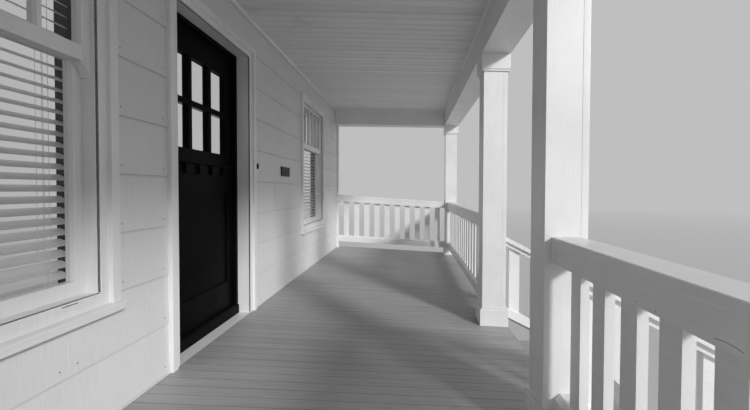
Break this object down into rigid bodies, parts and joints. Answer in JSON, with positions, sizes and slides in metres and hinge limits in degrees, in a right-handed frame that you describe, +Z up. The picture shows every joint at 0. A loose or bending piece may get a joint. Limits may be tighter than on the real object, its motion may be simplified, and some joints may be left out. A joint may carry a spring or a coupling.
{
  "type": "covered front porch with entrance door",
  "caption": "Full-width covered front porch on square columns, with railings, steps, a low hipped roof and the plain wall behind it with an entrance door and sash windows.",
  "frame": {"origin": "middle of the bounding box's footprint, on the ground", "axes": "+X to the right of a person facing the house, -Y towards the street (the steps' side), +Z up"},
  "size_m": [9.156, 3.43, 3.9742],
  "materials": {
    "siding": "painted fibre-cement shingles, matt",
    "white_paint": "painted timber, satin",
    "ceiling_paint": "painted beaded boards, satin",
    "deck_paint": "painted floor boards, worn satin",
    "black_paint": "painted timber, semi-gloss",
    "glass": "clear",
    "dark_metal": "dark, satin",
    "hinge_steel": "brushed",
    "blind": "matt",
    "concrete": null,
    "timber": "sawn softwood",
    "roofing": "asphalt shingles with mineral grit"
  },
  "bodies": {
    "porch": {"foundation": "concrete", "floor_rim": "deck_paint", "wall_left": "siding", "wall_right": "siding", "wall_over_door": "siding", "corner_boards": "white_paint", "door_frame": "white_paint", "door_stops": "black_paint", "door_sill": "black_paint", "door_casing": "white_paint", "hinge_leaves_frame": "hinge_steel", "window_casings": "white_paint", "window_sills": "white_paint", "window_frames": "white_paint", "window_sashes": "white_paint", "window_glass": "glass", "window_blinds": "blind", "wall_plaque": "dark_metal", "doorbell": "dark_metal", "piers": "concrete", "skirts": "white_paint", "deck_joists": "timber", "deck_girders": "timber", "deck_boards": "deck_paint", "column_shafts": "white_paint", "column_plinths": "white_paint", "column_collars": "white_paint", "front_beam": "white_paint", "end_beams": "white_paint", "ceiling": "ceiling_paint", "ceiling_moulding": "white_paint", "front_railings": "white_paint", "end_railings": "white_paint", "stair_stringers": "deck_paint", "stair_risers": "white_paint", "stair_treads": "deck_paint", "stair_railings": "white_paint", "newels": "white_paint", "roof_frame": "timber", "roof_boards": "timber", "roof_shingles": "roofing", "soffit": "white_paint", "fascia": "white_paint"},
    "door": {"door_slab": "black_paint", "door_glass": "glass", "door_shelf": "black_paint", "door_handles": "dark_metal", "hinge_leaves_door": "hinge_steel"}
  },
  "joints": [
    {"name": "door_hinge", "type": "hinge", "parent": "porch", "child": "door", "pos_m": [0.6395, 1.66, 1.8265], "axis": [0, 0, -1], "range_deg": [0, 100]}
  ]
}
